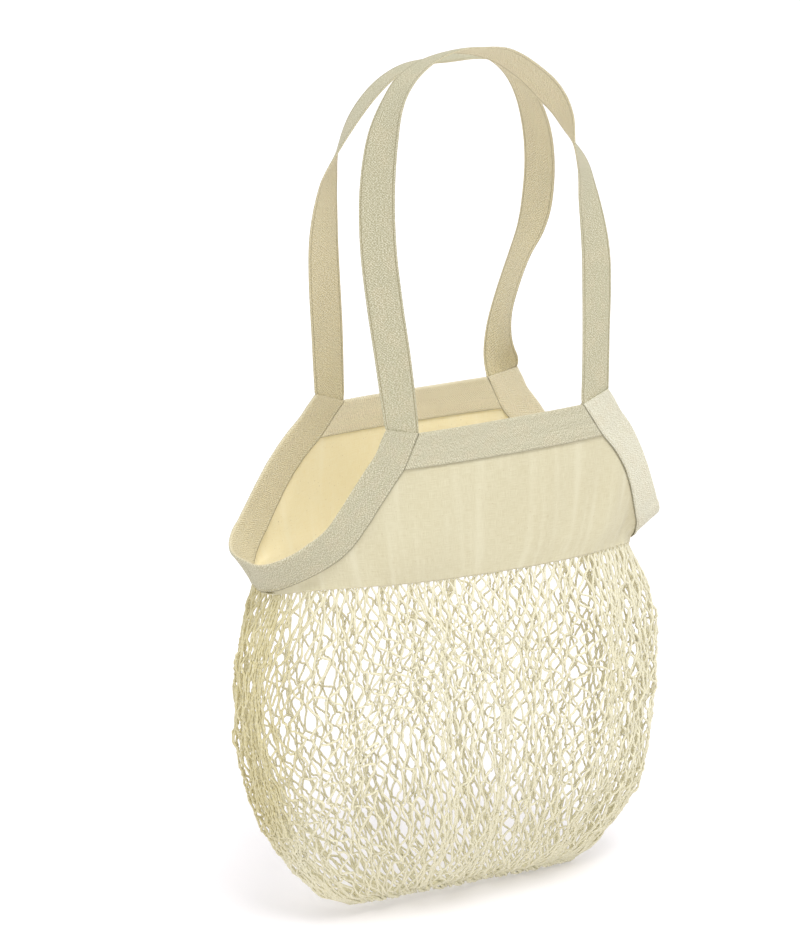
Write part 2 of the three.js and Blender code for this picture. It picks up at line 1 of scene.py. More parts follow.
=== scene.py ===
import bpy
import numpy as np
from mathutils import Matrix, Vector


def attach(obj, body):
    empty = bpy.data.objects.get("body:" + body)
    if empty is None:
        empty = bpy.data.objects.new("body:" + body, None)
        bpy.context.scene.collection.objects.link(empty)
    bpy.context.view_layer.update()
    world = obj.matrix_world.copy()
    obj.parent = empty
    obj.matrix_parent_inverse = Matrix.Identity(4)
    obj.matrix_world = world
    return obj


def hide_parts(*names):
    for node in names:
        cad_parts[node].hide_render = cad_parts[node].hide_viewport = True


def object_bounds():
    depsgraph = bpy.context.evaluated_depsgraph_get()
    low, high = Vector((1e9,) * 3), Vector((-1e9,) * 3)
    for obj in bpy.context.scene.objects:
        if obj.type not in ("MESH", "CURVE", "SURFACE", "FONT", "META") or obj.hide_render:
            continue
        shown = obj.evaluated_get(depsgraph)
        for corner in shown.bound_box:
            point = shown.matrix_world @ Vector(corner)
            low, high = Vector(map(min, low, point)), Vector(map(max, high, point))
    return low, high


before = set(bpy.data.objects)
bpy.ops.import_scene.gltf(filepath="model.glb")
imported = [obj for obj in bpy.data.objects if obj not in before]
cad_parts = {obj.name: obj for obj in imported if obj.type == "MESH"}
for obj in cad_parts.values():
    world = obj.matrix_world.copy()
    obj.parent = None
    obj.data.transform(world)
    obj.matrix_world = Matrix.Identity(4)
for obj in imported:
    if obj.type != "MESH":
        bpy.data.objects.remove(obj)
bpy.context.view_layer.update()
chance = np.random.default_rng(71)

# Measures shared by every piece

body = {
    "hangToHem": 0.281,
    "panelDrop": 0.125,
    "netDrop": 0.299,
    "halfWidth": 0.190,
    "halfDepth": 0.068,
    "hangAside": 0.021,
    "leanDown": 0.035,
    "sideDip": 0.011,
    "tapeWidth": 0.029,
    "normalStep": 0.004,
    "sections": {
        "level": [0.00, 0.50, 0.85, 1.00, 1.06, 1.17, 1.32, 1.46, 1.60, 1.72, 1.82, 1.90, 1.96, 2.00],
        "wide": [1.04, 1.02, 0.96, 0.92, 0.95, 1.01, 1.045, 1.04, 1.00, 0.95, 0.87, 0.78, 0.69, 0.58],
        "deep": [0.86, 0.94, 1.00, 1.01, 1.04, 1.12, 1.18, 1.18, 1.12, 0.99, 0.79, 0.55, 0.30, 0.09],
        "square": [2.4, 2.4, 2.4, 2.3, 2.2, 2.1, 2.0, 2.0, 2.0, 2.0, 2.0, 2.1, 2.2, 2.4],
        "aside": [0.000, 0.005, 0.020, 0.035, 0.030, 0.022, 0.011, 0.004,
                  -0.010, -0.028, -0.035, -0.038, -0.046, -0.060],
    },
}


# Columns of a table at values of its key column: in each gap a cubic whose end slopes are
# those of the lines that join the rows on either side of each end
def readTable(table, key, at):
    keys = np.array(table[key], float)
    at = np.clip(np.asarray(at, float), keys[0], keys[-1])
    last = len(keys) - 1
    i = np.clip(np.searchsorted(keys, at, side="right") - 1, 0, last - 1)
    before = np.maximum(i - 1, 0)
    after = np.minimum(i + 2, last)
    span = keys[i + 1] - keys[i]
    s = (at - keys[i]) / span
    result = {}
    for column, values in table.items():
        v = np.array(values, float)
        startSlope = (v[i + 1] - v[before]) / (keys[i + 1] - keys[before]) * span
        endSlope = (v[after] - v[i]) / (keys[after] - keys[i]) * span
        rise = v[i + 1] - v[i]
        result[column] = (
            v[i] + s * startSlope + s**2 * (3 * rise - 2 * startSlope - endSlope)
            + s**3 * (startSlope + endSlope - 2 * rise)
        )
    return result


# Vectors divided by their own lengths
def unit(vectors):
    return vectors / np.maximum(np.linalg.norm(vectors, axis=-1, keepdims=True), 1e-12)


# 3t^2 - 2t^3, held at 0 and 1 beyond the ends
def smooth(t):
    t = np.clip(t, 0, 1)
    return t * t * (3 - 2 * t)


# The bag's surface: at each level a superellipse x = a |sin|^(2/n), y = -b |cos|^(2/n), whose
# level slopes towards +X and dips at the two sides. Level 0 is the hem, 1 the panels' lower edge
# and 2 the bottom of the net; angle 0 is the middle of the front and grows towards +X.
def bodyPoint(angle, level):
    angle, level = np.broadcast_arrays(np.asarray(angle, float), np.asarray(level, float))
    section = readTable(body["sections"], "level", level)
    power = 2 / section["square"]
    sideways, frontways = np.sin(angle), np.cos(angle)
    x = body["halfWidth"] * section["wide"] * np.sign(sideways) * np.abs(sideways) ** power
    y = -body["halfDepth"] * section["deep"] * np.sign(frontways) * np.abs(frontways) ** power
    drop = np.minimum(level, 1) * body["panelDrop"] + np.maximum(level - 1, 0) * body["netDrop"]
    slope = body["leanDown"] * np.minimum(level, 1) * x
    dip = body["sideDip"] * sideways**8 * np.minimum(level, 2 - level)
    z = -body["hangToHem"] - drop - slope - dip
    return np.stack([x - body["hangAside"] - body["halfWidth"] * section["aside"], y, z], -1)


# Outward normal of the body: short difference round it crossed with short difference up it
def bodyNormal(angle, level):
    step = body["normalStep"]
    level = np.asarray(level, float)
    low, high = np.maximum(level - step, 0), np.minimum(level + step, 2)
    turn = bodyPoint(angle + step, level) - bodyPoint(angle - step, level)
    rise = bodyPoint(angle, low) - bodyPoint(angle, high)
    return unit(np.cross(turn, rise))


# One mesh from grids of points, count x rows x columns x 3. A closed grid joins its last column
# to its first and has flat ends. uv has one column more than a closed grid's points.
def gridMesh(name, points, uv, closed=False, outward=None):
    if points.ndim == 3:
        points, uv = points[None], uv[None]
    count, rows, columns = points.shape[:3]
    wide = columns if closed else columns - 1
    i, j = np.meshgrid(np.arange(rows - 1), np.arange(wide), indexing="ij")

    def ring(perRow, wrap):
        right = (j + 1) % perRow if wrap else j + 1
        low, high = i * perRow, (i + 1) * perRow
        one = np.stack([low + j, low + right, high + right, high + j], -1)
        first = np.arange(count).reshape(-1, 1, 1, 1) * rows * perRow
        return (first + one[None]).reshape(-1, 4)

    quads = ring(columns, closed)
    uvQuads = ring(uv.shape[2], False)
    flat = points.reshape(-1, 3)
    a, b, c, d = (flat[quads[:, k]] for k in range(4))
    turned = False
    if closed:
        inward = np.einsum("ij,ij->i", a, np.cross(b, c)) + np.einsum("ij,ij->i", a, np.cross(c, d))
        turned = inward.sum() < 0
    elif outward is not None:
        facing = np.cross(c - a, d - b) * outward[: rows - 1, :wide].reshape(-1, 3)
        turned = facing.sum() < 0
    if turned:
        quads, uvQuads = quads[:, ::-1], uvQuads[:, ::-1]
    loops, starts = quads.reshape(-1), np.arange(len(quads)) * 4
    loopUv = uv.reshape(-1, 2)[uvQuads.reshape(-1)]
    if closed:
        begin = np.arange(count)[:, None] * rows * columns + np.arange(columns)
        end = begin + (rows - 1) * columns
        caps = np.concatenate([begin if turned else begin[:, ::-1], end[:, ::-1] if turned else end])
        starts = np.concatenate([starts, len(loops) + np.arange(len(caps)) * columns])
        loops = np.concatenate([loops, caps.reshape(-1)])
        loopUv = np.concatenate([loopUv, np.zeros((caps.size, 2))])
    mesh = bpy.data.meshes.new(name)
    mesh.vertices.add(len(flat))
    mesh.vertices.foreach_set("co", flat.astype(np.float32).reshape(-1))
    mesh.loops.add(len(loops))
    mesh.loops.foreach_set("vertex_index", loops.astype(np.int32))
    mesh.polygons.add(len(starts))
    mesh.polygons.foreach_set("loop_start", starts.astype(np.int32))
    mesh.update(calc_edges=True)
    mesh.polygons.foreach_set("use_smooth", np.ones(len(starts), bool))
    layer = mesh.uv_layers.new(name="cloth")
    layer.uv.foreach_set("vector", loopUv.astype(np.float32).reshape(-1))
    mesh.validate()
    piece = bpy.data.objects.new(name, mesh)
    bpy.context.scene.collection.objects.link(piece)
    return piece


# A live wall, half to each side of the surface; inside is the step to the inner face's material
def addThickness(piece, thick, inside=0):
    wall = piece.modifiers.new("thickness", "SOLIDIFY")
    wall.thickness = thick
    wall.offset = 0
    wall.material_offset = inside
    wall.use_even_offset = False


# A tube about a path: circles of the given radius across its tangent, started from the tangent
# crossed with a guide direction
def tubePoints(path, guide, radius, sides):
    tangent = unit(np.gradient(path, axis=-2))
    sideways = unit(np.cross(tangent, guide))
    normal = np.cross(sideways, tangent)
    turn = np.arange(sides) * 2 * np.pi / sides
    ring = sideways[..., None, :] * np.cos(turn)[:, None] + normal[..., None, :] * np.sin(turn)[:, None]
    return path[..., None, :] + ring * radius[..., None, None]


# Length along a path at each of its points
def lengthAlong(path):
    steps = np.linalg.norm(np.diff(path, axis=-2), axis=-1)
    return np.concatenate([np.zeros(steps.shape[:-1] + (1,)), np.cumsum(steps, -1)], -1)


# Scooped side edges, as in the part

hemCorners = {
    "frontLeft": {"reach": 0.34, "spread": 0.0, "pull": 0},
    "frontRight": {"reach": 0.46, "spread": 1.0, "pull": 12},
    "backLeft": {"reach": 0.355, "spread": 0.8, "pull": 0},
    "backRight": {"reach": 0.35, "spread": 0.1, "pull": 0},
}
scoop = {
    "step": [0.0, 0.1, 0.2, 0.3, 0.4, 0.5, 0.6, 0.7, 0.8, 0.9, 1.0],
    "turn": [0.000, 0.028, 0.060, 0.110, 0.165, 0.228, 0.305, 0.405, 0.550, 0.760, 1.000],
    "beside": [0.0, 0.5, 1.0, 1.0, 1.0, 1.0, 1.0, 1.0, 1.0, 1.0, 1.0],
    "below": [0.000, 0.000, 0.000, 0.150, 0.310, 0.480, 0.640, 0.765, 0.865, 0.945, 0.984],
    "flare": [0, 0, 2, 4, 6, 9, 13, 16, 18, 19, 19],
    "tight": [0.00, 0.20, 0.50, 0.80, 1.00, 0.85, 0.55, 0.30, 0.12, 0.03, 0.00],
    "mitreShare": 0.5,
    "mitreReach": 0.15,
    "nudge": 0.02,
}
scoopKeys = ("step", "turn", "beside", "below", "flare", "tight")


# Place on the body of a scooped edge: the angle runs from the hem corner to the side while the
# drop runs down beside the hem tape and then on to the panels' lower edge
def scoopPlace(side, face, step):
    corner = hemCorners[face + ("Left" if side < 0 else "Right")]
    start = np.arcsin(corner["reach"] ** (body["sections"]["square"][0] / 2))
    sign = side if face == "front" else -side
    middle = 0 if face == "front" else np.pi
    row = readTable({key: scoop[key] for key in scoopKeys}, "step", step)
    turn = row["turn"] * (1 + corner["spread"] * (1 - row["turn"]) ** 3)
    angle = start + (np.pi / 2 - start) * turn
    drop = row["beside"] * body["tapeWidth"] + row["below"] * (body["panelDrop"] - body["tapeWidth"])
    flare = row["flare"] - corner["pull"] * row["tight"]
    return middle + sign * angle, drop / body["panelDrop"], np.radians(flare)


# Ribs of a binding: the sewn edge on the body, the direction across the tape, which is square to
# the edge and leans out by the flare, and the tape's normal. Near the hem the edge's line is
# mixed with straight down, for the mitre.
def scoopRibs(side, face, step):
    angle, level, flare = scoopPlace(side, face, step)
    sewn, normal = bodyPoint(angle, level), bodyNormal(angle, level)
    ahead = scoopPlace(side, face, np.minimum(step + scoop["nudge"], 1))
    behind = scoopPlace(side, face, np.maximum(step - scoop["nudge"], 0))
    line = bodyPoint(ahead[0], ahead[1]) - bodyPoint(behind[0], behind[1])
    line[..., 2] = np.where(step >= 1, -body["leanDown"] * line[..., 0], line[..., 2])
    mitre = scoop["mitreShare"] * np.maximum(1 - step / scoop["mitreReach"], 0)[..., None]
    line = unit(unit(line) * (1 - mitre) + np.array([0, 0, -1]) * mitre)
    across = unit(np.cross(normal, line))
    across *= np.where(across[..., 2:] < 0, -1, 1)
    cosine, sine = np.cos(flare)[..., None], np.sin(flare)[..., None]
    return {
        "angle": angle,
        "level": level,
        "sewn": sewn,
        "across": across * cosine + normal * sine,
        "normal": normal * cosine - across * sine,
        "line": line,
    }


# Ribs of a hem between its two ends, from the sewn edge straight up to the top edge
def hemRibs(face, share):
    def ends(step):
        places = [scoopPlace(side, face, np.array(step))[0] for side in (-1, 1)]
        return places[0] + (places[1] - places[0]) * share

    level = body["tapeWidth"] / body["panelDrop"]
    angle, nudge = ends(0.2), 0.01
    sewn = bodyPoint(angle, level)
    across = (bodyPoint(ends(0.0), 0) - sewn) / body["tapeWidth"]
    turn = bodyPoint(angle + nudge, level) - bodyPoint(angle - nudge, level)
    normal = unit(np.cross(turn, across))
    return {
        "angle": angle,
        "level": np.full_like(angle, level),
        "sewn": sewn,
        "across": across,
        "normal": normal,
    }


# Materials

class Flow:
    # A socket in a shader tree; + - * / on it add Math nodes
    def __init__(self, tree, socket=None):
        self.tree, self.socket = tree, socket

    def node(self, kind, settings=None, inputs=None, out=0):
        made = self.tree.nodes.new(kind)
        for name, value in (settings or {}).items():
            setattr(made, name, value)
        for name, value in (inputs or {}).items():
            if isinstance(value, Flow):
                self.tree.links.new(value.socket, made.inputs[name])
            else:
                made.inputs[name].default_value = value
        return Flow(self.tree, made.outputs[out])

    def math(self, operation, first, second=0.0, third=0.0):
        return self.node("ShaderNodeMath", {"operation": operation}, {0: first, 1: second, 2: third})

    def __add__(self, other):
        return self.math("ADD", self, other)

    def __sub__(self, other):
        return self.math("SUBTRACT", self, other)

    def __mul__(self, other):
        return self.math("MULTIPLY", self, other)

    def __truediv__(self, other):
        return self.math("DIVIDE", self, other)

    def __rsub__(self, other):
        return self.math("SUBTRACT", other, self)

    __radd__ = __add__
    __rmul__ = __mul__

    def sine(self):
        return self.math("SINE", self)

    def near(self, middle, width):
        return self.math("COMPARE", self, middle, width)

    def zigzag(self, length):
        return self.math("PINGPONG", self, length)

    def above(self, edge, soft):
        return self.node(
            "ShaderNodeMapRange", {"interpolation_type": "SMOOTHSTEP"},
            {"Value": self, "From Min": edge - soft, "From Max": edge + soft, "To Min": 0.0, "To Max": 1.0})


# Screen colour from 0 to 255 as linear light: the sRGB curve, undone
def colour(red, green, blue):
    share = np.array([red, green, blue]) / 255
    linear = np.where(share <= 0.04045, share / 12.92, ((share + 0.055) / 1.055) ** 2.4)
    return (*[float(v) for v in linear], 1.0)


def newMaterial(name, roughness, sheen=0.15):
    material = bpy.data.materials.new(name)
    material.use_nodes = True
    tree = material.node_tree
    shader = tree.nodes["Principled BSDF"]
    shader.inputs["Roughness"].default_value = roughness
    shader.inputs["Sheen Weight"].default_value = sheen
    shader.inputs["Specular IOR Level"].default_value = 0.25
    return material, Flow(tree), shader


def noise(flow, scale, detail, spot, stretch=(1, 1, 1)):
    moved = flow.node("ShaderNodeMapping", {}, {"Vector": spot, "Scale": stretch})
    return flow.node("ShaderNodeTexNoise", {}, {"Vector": moved, "Scale": scale, "Detail": detail})


def mixColour(flow, factor, first, second):
    return flow.node("ShaderNodeMix", {"data_type": "RGBA"}, {0: factor, 6: first, 7: second}, 2)


# The cloth's own place, and its two parts: metres along and metres across
def clothPlace(flow):
    spot = flow.node("ShaderNodeUVMap", {"uv_map": "cloth"})
    return spot, *[flow.node("ShaderNodeSeparateXYZ", {}, {0: spot}, part) for part in (0, 1)]


def finishSurface(flow, shader, base, height, relief):
    strength, distance = relief
    bump = flow.node("ShaderNodeBump", {}, {"Height": height, "Strength": strength, "Distance": distance})
    flow.tree.links.new(base.socket, shader.inputs["Base Color"])
    flow.tree.links.new(bump.socket, shader.inputs["Normal"])


# Plain-woven cotton: crossing sine waves of warp and weft, slubs drawn out along the threads,
# seed flecks and a slow drift of colour
def calicoMaterial(name, cloth):
    material, flow, shader = newMaterial(name, cloth["roughness"])
    spot, u, v = clothPlace(flow)
    perMetre = 2 * np.pi / cloth["threadPitch"]
    weave = (u * perMetre).sine() * (v * perMetre).sine()
    weft, warp = (noise(flow, 1.0, 3.0, spot, stretch) for stretch in cloth["slubStretch"])
    slubs = weft * 0.5 + warp * 0.5
    drift = noise(flow, cloth["driftScale"], 2.0, spot)
    streaks = noise(flow, 1.0, 2.0, spot, cloth["streakStretch"])
    flecks = noise(flow, cloth["fleckScale"], 1.0, spot).above(cloth["fleckEdge"], 0.02)
    base = mixColour(flow, drift, colour(*cloth["pale"]), colour(*cloth["deep"]))
    base = mixColour(flow, slubs.above(0.5, 0.16) * cloth["slubShare"], base, colour(*cloth["thread"]))
    base = mixColour(flow, streaks.above(0.6, 0.14) * cloth["streakShare"], base, colour(*cloth["thread"]))
    base = mixColour(flow, flecks * cloth["fleckShare"], base, colour(*cloth["fleck"]))
    finishSurface(flow, shader, base, weave * 0.5 + slubs, cloth["relief"])
    return material


# Herringbone tape: twill ridges whose slope turns over at every band across the tape. uv runs
# along the tape and across it in metres: the inner face first, then the outer one.
def tapeMaterial(name, cloth):
    material, flow, shader = newMaterial(name, cloth["roughness"])
    spot, u, v = clothPlace(flow)
    wander = noise(flow, cloth["wanderScale"], 2.0, spot) * cloth["wander"]
    ridges = ((u + v.zigzag(cloth["band"]) + wander) * (2 * np.pi / cloth["ridgePitch"])).sine()
    yarns = noise(flow, 1.0, 2.0, spot, cloth["yarnStretch"])
    patches = noise(flow, cloth["patchScale"], 2.0, spot)
    drift = noise(flow, cloth["driftScale"], 3.0, spot)
    edge = v.zigzag(cloth["edgeSpan"])
    outer = v.above(body["tapeWidth"], 0.0004)
    layers = (
        (drift.above(0.5, 0.3) * cloth["driftShare"], "deep"),
        (patches.above(0.56, 0.12) * cloth["patchShare"], "patch"),
        (yarns.above(0.54, 0.06) * cloth["yarnShare"], "thread"),
        ((1 - yarns).above(0.54, 0.06) * cloth["grooveShare"], "groove"),
        ((0.5 - ridges * 0.5) * cloth["ridgeShare"], "groove"),
        # A dark line just in from each sewn edge, and on the handles' pressed seams: painted shade where
        # the tape meets the cloth and in the seam grooves
        (edge.near(cloth["edgeInset"], 0.0004) * cloth["edgeShadeShare"], "seam"),
        # Painted light: the inner face is mixed further towards an even paler, warmer shade
        ((1 - outer) * cloth["innerPaintedLightShare"], "innerPaintedLight"),
    )
    # The inner face is much paler and warmer than the outer face: painted light and painted shade on the
    # two faces of one tape
    base = mixColour(flow, outer, colour(*cloth["inner"]), colour(*cloth["outer"]))
    for share, shade in layers:
        base = mixColour(flow, share, base, colour(*cloth[shade]))
    finishSurface(flow, shader, base, ridges * 0.5 + yarns * 1.6, cloth["relief"])
    return material


# Twisted cord: sine ridges that wind round it, with paler and darker stretches of yarn, and a
# darker colour where the net is gathered at the left, which is painted shade among the bunched cords
def cordMaterial(name, cloth):
    material, flow, shader = newMaterial(name, cloth["roughness"])
    spot, u, v = clothPlace(flow)
    twist = ((v * cloth["plies"] + u / cloth["layLength"]) * (2 * np.pi)).sine()
    place = flow.node("ShaderNodeTexCoord", {}, {}, 3)
    sideways = flow.node("ShaderNodeSeparateXYZ", {}, {0: place}, 0)
    # Painted shade: cords at the left end, where the net bunches, are mixed towards a darker, yellower
    # colour
    gathered = (0.0 - sideways).above(cloth["gatherPlace"], cloth["gatherSoft"])
    drift = noise(flow, cloth["driftScale"], 2.0, place)
    fine = noise(flow, cloth["fineScale"], 2.0, place)
    base = mixColour(flow, drift, colour(*cloth["pale"]), colour(*cloth["deep"]))
    base = mixColour(flow, gathered * cloth["bunchedShadeShare"], base, colour(*cloth["gathered"]))
    base = mixColour(flow, (0.5 - twist * 0.5) * cloth["grooveShare"], base, colour(*cloth["groove"]))
    base = mixColour(flow, fine.above(0.55, 0.12) * cloth["fineShare"], base, colour(*cloth["thread"]))
    finishSurface(flow, shader, base, twist + fine, cloth["relief"])
    return material


calico = {
    "threadPitch": 0.0011,
    "roughness": 0.93,
    "relief": (0.35, 0.0004),
    "slubStretch": ((2600, 130, 1), (110, 2300, 1)),
    "slubShare": 0.6,
    "driftScale": 14.0,
    "streakStretch": (95, 7, 1),
    "streakShare": 0.45,
    "fleckScale": 620.0,
    "fleckShare": 0.5,
    "fleckEdge": 0.74,
    "pale": (204, 197, 165),
    "deep": (194, 184, 149),
    "thread": (220, 215, 188),
    "fleck": (176, 156, 116),
}
# The panels' inner side: the same calico in paler, warmer shades, which is painted light on the inner faces
calicoInsidePaintedLight = {
    **calico,
    "pale": (248, 236, 195),
    "deep": (240, 226, 180),
    "thread": (252, 244, 213),
}
tape = {
    "band": 0.0058,
    "ridgePitch": 0.0023,
    "roughness": 0.92,
    "relief": (0.6, 0.0006),
    "wanderScale": 260.0,
    "wander": 0.0006,
    "driftScale": 22.0,
    "driftShare": 0.30,
    "patchScale": 60.0,
    "patchShare": 0.30,
    "yarnStretch": (1300, 800, 1),
    "yarnShare": 0.70,
    "grooveShare": 0.66,
    "ridgeShare": 0.34,
    "edgeShadeShare": 0.65,
    # outer and inner: the tape's two faces in a darker and a paler shade, painted shade and painted light
    "outer": (191, 187, 160),
    "inner": (252, 238, 206),
    "innerPaintedLight": (255, 246, 218),
    "innerPaintedLightShare": 0.28,
    "deep": (200, 195, 164),
    "patch": (216, 200, 168),
    "thread": (228, 224, 201),
    "groove": (166, 159, 128),
    # seam: colour of the dark edge line, painted shade
    "seam": (132, 124, 92),
    "edgeSpan": body["tapeWidth"],
    "edgeInset": 0.0003,
}
# The hems' copy of the tape: a paler outer face, which is painted light, and a fainter painted shade at the
# sewn edge
hemTapeLitCopy = {**tape, "outer": (203, 199, 173), "seam": (176, 168, 136)}
# The side bindings are one tape in two shades: the left one's inner face darker, which is painted shade,
# and the right one's outer face, yarns and grooves paler, which is painted light
leftTapeShadedInside = {**tape, "inner": (230, 217, 180), "innerPaintedLight": (232, 219, 184)}
rightTapeLitOutside = {**tape, "outer": (224, 221, 199), "thread": (242, 240, 223), "groove": (196, 191, 165)}
# The handles' copy of the tape: a paler inner face, which is painted light, and the dark edge line moved
# onto the pressed seams as painted shade in their grooves
handleTape = {
    **tape,
    "outer": (186, 182, 152),
    "inner": (228, 214, 172),
    "innerPaintedLight": (228, 214, 174),
    "innerPaintedLightShare": 0.12,
    "seam": (140, 131, 98),
    "edgeSpan": body["tapeWidth"] / 2,
    "edgeInset": 0.0022,
}
netCord = {
    "plies": 2,
    "layLength": 0.0042,
    "roughness": 0.9,
    "relief": (0.4, 0.0003),
    "driftScale": 9.0,
    "fineScale": 420.0,
    "fineShare": 0.25,
    "grooveShare": 0.35,
    "bunchedShadeShare": 0.75,
    "gatherSoft": 0.016,
    "pale": (238, 235, 214),
    "deep": (226, 219, 185),
    "thread": (248, 245, 228),
    "groove": (206, 198, 160),
    # Colour of the painted shade among the bunched cords at the left
    "gathered": (202, 190, 134),
    "gatherPlace": 0.190,
}
thread = {**netCord, "layLength": 0.0012, "pale": (238, 233, 212), "deep": (226, 219, 192)}

calicoCloth = calicoMaterial("unbleached calico", calico)
calicoInsideLitCloth = calicoMaterial("calico, inner side, painted light", calicoInsidePaintedLight)
leftTapeShadedCloth = tapeMaterial("left side tape, painted shade inside", leftTapeShadedInside)
rightTapeLitCloth = tapeMaterial("right side tape, painted light outside", rightTapeLitOutside)
hemTapeLitCloth = tapeMaterial("hem tape, painted light", hemTapeLitCopy)
handleCloth = tapeMaterial("handle tape", handleTape)
cordCloth = cordMaterial("net cord", netCord)
threadCloth = cordMaterial("sewing thread", thread)
print("materials ready")

pieceNames = []


def keep(piece, material, node=None):
    piece.data.materials.append(material)
    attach(piece, "root")
    if node:
        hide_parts(node)
    pieceNames.append(piece.name)
    return piece


panel = {
    "lowPlace": -2.50,
    "lowWidth": 0.38,
    "lowDrop": 0.050,
    "thick": 0.0009,
    "ribsAcross": 180,
    "ribsDown": 60,
    "tucked": 0.009,
    "sideEnd": 0.997,
    "waves": [(0.0026, 3.0, 0.7), (0.0018, 7.0, 2.1), (0.0012, 13.0, 4.0), (0.0006, 29.0, 1.0)],
    "waveLean": 1.5,
    "waveEase": 0.8,
    "pucker": 0.0005,
    "puckerLength": 0.011,
    "puckerTurns": 40,
    "puckerReach": 0.06,
    "tuckedRows": 4,
}


# Level of the panels' lower edge: 1, and lower by a bell about one place at the back left
def lowerEdge(angle):
    away = (angle - panel["lowPlace"] + np.pi) % (2 * np.pi) - np.pi
    return 1 + panel["lowDrop"] * np.exp(-((away / panel["lowWidth"]) ** 2))


# A panel: columns that run from the lower edge up the body to the sewn edge and on into the
# tape's fold. It stands off the body by a sum of sines across, strongest half-way down, and by
# small puckers that die away from the lower edge.
def makePanel(name, face):
    many = panel["ribsAcross"]
    scoopShare = np.linspace(0.2, panel["sideEnd"], many // 3)
    left = scoopRibs(-1, face, scoopShare[::-1])
    right = scoopRibs(1, face, scoopShare)
    middle = hemRibs(face, np.linspace(0, 1, many // 3 + 2)[1:-1])
    joined = {key: np.concatenate([left[key], middle[key], right[key]]) for key in middle}
    down = np.linspace(0, 1, panel["ribsDown"])
    edge = lowerEdge(joined["angle"])[:, None]
    level = edge + (joined["level"][:, None] - edge) * down
    angle = np.broadcast_to(joined["angle"][:, None], level.shape)
    points = bodyPoint(angle, level)
    normal = bodyNormal(angle, level)
    lift = 0
    for height, turns, start in panel["waves"]:
        lift = lift + height * np.sin(turns * angle + start + panel["waveLean"] * level)
    lift = lift * np.sin(np.pi * down) ** panel["waveEase"]
    around = lengthAlong(points[:, 0])[:, None]
    phase = 2 * np.pi * around / panel["puckerLength"] + 3 * np.sin(around * panel["puckerTurns"])
    lift = lift + panel["pucker"] * np.sin(phase) * np.exp(-down / panel["puckerReach"])
    points = points + normal * lift[..., None]
    tucked = np.linspace(0, panel["tucked"], panel["tuckedRows"] + 1)[1:]
    top = points[:, -1:] + joined["across"][:, None] * tucked[:, None]
    points = np.concatenate([points, top], 1)
    normal = np.concatenate([normal, np.repeat(normal[:, -1:], panel["tuckedRows"], 1)], 1)
    across = lengthAlong(points[:, 0])
    up = lengthAlong(points)
    uv = np.stack([np.broadcast_to(across[:, None], up.shape), up], -1)
    piece = gridMesh(name, points, uv, outward=normal)
    addThickness(piece, panel["thick"], 1)
    keep(piece, calicoCloth, face + "_panel")
    # The inner faces take the paler calico copy: painted light
    piece.data.materials.append(calicoInsideLitCloth)
    return piece, float(across[-1]), float(up.max())


for face in ("front", "back"):
    piece, wide, high = makePanel(face + "_panel_cloth", face)
    cut = sum(p.area for p in piece.data.polygons)
    face + "_hem"
    min(cut, wide * high)
print("panels made")


# Hems and bindings: one tape folded over the cloth's edge

fold = {
    "thick": 0.0009,
    "standOff": 0.00135,
    "acrossSteps": 22,
    "roundSteps": 8,
    "ripple": 0.00012,
    "rippleLength": 0.017,
    "rippleTurns": 55,
    "rippleReach": 0.008,
    "edgeWave": 0.0006,
    "edgeTurns": 31,
}


# Section of a folded tape, as distance from the sewn edge and height off the cloth: up the inner
# side, half round a small circle and down the outer side
def foldSection():
    radius = fold["standOff"]
    flat = np.linspace(0, body["tapeWidth"] - radius - fold["thick"] / 2, fold["acrossSteps"])
    turn = np.linspace(-np.pi / 2, np.pi / 2, fold["roundSteps"] + 2)[1:-1]
    x = np.concatenate([flat, flat[-1] + radius * np.cos(turn), flat[::-1]])
    y = np.concatenate([np.full_like(flat, -radius), radius * np.sin(turn), np.full_like(flat, radius)])
    return x, y


# A folded tape: its section carried along the ribs, with a ripple of sines that dies away from
# the sewn edge and a slow wave of the folded edge
def makeFoldedTape(name, ribs, cloth, node):
    x, y = foldSection()
    run = lengthAlong(ribs["sewn"])
    phase = 2 * np.pi * run[:, None] / fold["rippleLength"]
    phase = phase + 2.2 * np.sin(run[:, None] * fold["rippleTurns"])
    ripple = fold["ripple"] * np.sin(phase) * (0.4 + 0.6 * np.exp(-x / fold["rippleReach"]))
    soft = fold["edgeWave"] * np.sin(run[:, None] * fold["edgeTurns"] + 1) * (x / body["tapeWidth"]) ** 2
    height = y + ripple * np.sign(y) + soft
    points = ribs["sewn"][:, None] + ribs["across"][:, None] * x[:, None]
    points = points + ribs["normal"][:, None] * height[..., None]
    section = np.concatenate([[0], np.cumsum(np.hypot(np.diff(x), np.diff(y)))])
    section = section / section[-1] * 2 * body["tapeWidth"]
    uv = np.stack(np.broadcast_arrays(run[:, None], section[None]), -1)
    outward = ribs["normal"][:, None] * np.sign(y)[:, None]
    piece = gridMesh(name, points, uv, outward=outward)
    addThickness(piece, fold["thick"])
    keep(piece, cloth, node)


# The whole run of a side binding: from the front hem corner round the side to the back one
def bindingRibs(side, steps):
    front = scoopRibs(side, "front", np.linspace(0, 1, steps))
    back = scoopRibs(side, "back", np.linspace(1, 0, steps)[1:])
    return {key: np.concatenate([front[key], back[key]]) for key in front}


hemShare = np.linspace(0.004, 0.996, 150)
hems = {face: hemRibs(face, hemShare) for face in ("front", "back")}
bindings = {name: bindingRibs(side, 170) for name, side in (("left", -1), ("right", 1))}
for face, ribs in hems.items():
    makeFoldedTape(face + "_hem_tape", ribs, hemTapeLitCloth, face + "_hem")
makeFoldedTape("left_binding_tape", bindings["left"], leftTapeShadedCloth, "left_binding")
makeFoldedTape("right_binding_tape", bindings["right"], rightTapeLitCloth, "right_binding")
print("hems and bindings made")

# Handles

